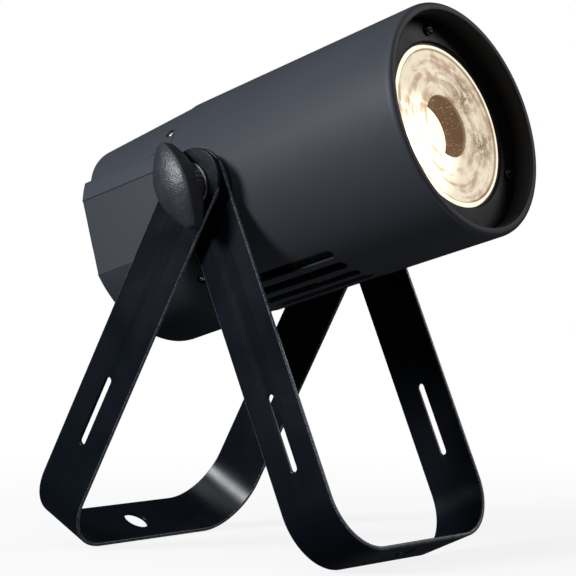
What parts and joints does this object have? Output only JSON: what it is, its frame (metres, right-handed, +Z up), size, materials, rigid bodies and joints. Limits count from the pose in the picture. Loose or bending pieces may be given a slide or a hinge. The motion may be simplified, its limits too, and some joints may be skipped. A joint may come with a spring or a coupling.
{
  "type": "led spotlight",
  "caption": "Round LED spotlight head that tilts between two folding strap brackets, which open as a floor stand or close to hang, clamped by wing knobs.",
  "frame": {"origin": "on the floor, under the middle of the object's bounding box, with both brackets open as a stand", "axes": "+X along the clamp axis towards the right knob as seen from behind the light, the beam leaves towards -Y tilted up, +Z up"},
  "size_m": [0.174, 0.2341, 0.266],
  "materials": {
    "strap_paint": "satin black powder coat",
    "barrel_plastic": "satin dark blue-grey moulding",
    "knob_plastic": "fine-textured black",
    "zinc_steel": "bright zinc plate",
    "black_steel": "black oxide",
    "brass": "turned",
    "black_fibre": "matt friction material",
    "plate_paint": "satin black",
    "lens_acrylic": "polished clear acrylic, lit from behind",
    "gasket_rubber": "matt",
    "emitter_phosphor": "phosphor over chips",
    "circuit_board": "solder mask",
    "cast_aluminium": "plain extrusion",
    "ferrite": "ferrite core and windings",
    "capacitor_sleeve": "printed sleeve",
    "panel_paint": "satin black",
    "inlet_plastic": "glossy black",
    "red_insulation": "smooth",
    "blue_insulation": "smooth"
  },
  "bodies": {
    "outer_bracket": {"outer_bracket": "strap_paint", "spacer_left": "black_fibre", "spacer_right": "black_fibre"},
    "inner_bracket": {"inner_bracket": "strap_paint", "friction_washer_left": "black_fibre", "friction_washer_right": "black_fibre"},
    "head": {"front_tube": "barrel_plastic", "upper_cover": "barrel_plastic", "lower_housing": "barrel_plastic", "seam_screw_1": "zinc_steel", "seam_screw_2": "zinc_steel", "seam_screw_3": "zinc_steel", "seam_screw_4": "zinc_steel", "threaded_insert_left": "brass", "threaded_insert_right": "brass", "front_plate": "plate_paint", "front_plate_screw_1": "black_steel", "front_plate_screw_2": "black_steel", "front_plate_screw_3": "black_steel", "lens": "lens_acrylic", "lens_gasket": "gasket_rubber", "lens_holder": "plate_paint", "led_emitter": "emitter_phosphor", "led_board": "circuit_board", "led_board_screw_1": "zinc_steel", "led_board_screw_2": "zinc_steel", "heatsink": "cast_aluminium", "driver_board": "circuit_board", "driver_transformer": "ferrite", "driver_capacitor_1": "capacitor_sleeve", "driver_capacitor_2": "capacitor_sleeve", "board_post_1": "brass", "board_post_2": "brass", "board_post_3": "brass", "board_post_4": "brass", "led_lead": "red_insulation", "mains_lead": "blue_insulation", "rear_panel": "panel_paint", "rear_panel_screw_1": "black_steel", "rear_panel_screw_2": "black_steel", "rear_panel_screw_3": "black_steel", "rear_panel_screw_4": "black_steel", "power_inlet": "inlet_plastic", "inlet_pin_live": "zinc_steel", "inlet_pin_neutral": "zinc_steel", "inlet_pin_earth": "zinc_steel", "fuse_holder": "inlet_plastic"},
    "clamp_left": {"clamp_washer_left": "zinc_steel"},
    "clamp_right": {"clamp_washer_right": "zinc_steel"},
    "knob_left": {"knob_left": "knob_plastic", "stud_left": "zinc_steel"},
    "knob_right": {"knob_right": "knob_plastic", "stud_right": "zinc_steel"},
    "fuse_cap": {"fuse_cap": "inlet_plastic"}
  },
  "joints": [
    {"name": "head_tilt", "type": "hinge", "parent": "outer_bracket", "child": "head", "pos_m": [0, 0.00746, 0.1795], "axis": [-1, 0, 0], "range_deg": [-106, 73]},
    {"name": "bracket_fold", "type": "hinge", "parent": "outer_bracket", "child": "inner_bracket", "pos_m": [0, 0.00746, 0.1795], "axis": [1, 0, 0], "range_deg": [-127, 52.6]},
    {"name": "clamp_travel_left", "type": "slide", "parent": "outer_bracket", "child": "clamp_left", "axis": [-1, 0, 0], "range_m": [0, 0.0025]},
    {"name": "knob_turn_left", "type": "hinge", "parent": "clamp_left", "child": "knob_left", "pos_m": [0, 0.00746, 0.1795], "axis": [-1, 0, 0], "range_deg": [0, 721]},
    {"name": "clamp_travel_right", "type": "slide", "parent": "outer_bracket", "child": "clamp_right", "axis": [1, 0, 0], "range_m": [0, 0.0025]},
    {"name": "knob_turn_right", "type": "hinge", "parent": "clamp_right", "child": "knob_right", "pos_m": [0, 0.00746, 0.1795], "axis": [1, 0, 0], "range_deg": [0, 721]},
    {"name": "fuse_cap_turn", "type": "hinge", "parent": "head", "child": "fuse_cap", "pos_m": [0.022, 0.08857, 0.15578], "axis": [0, 0.9598, -0.2807], "range_deg": [0, 90]}
  ],
  "couplings": [
    {"joint": "knob_turn_left", "follows": "clamp_travel_left", "rad_per_m": 5026.5},
    {"joint": "knob_turn_right", "follows": "clamp_travel_right", "rad_per_m": 5026.5}
  ]
}
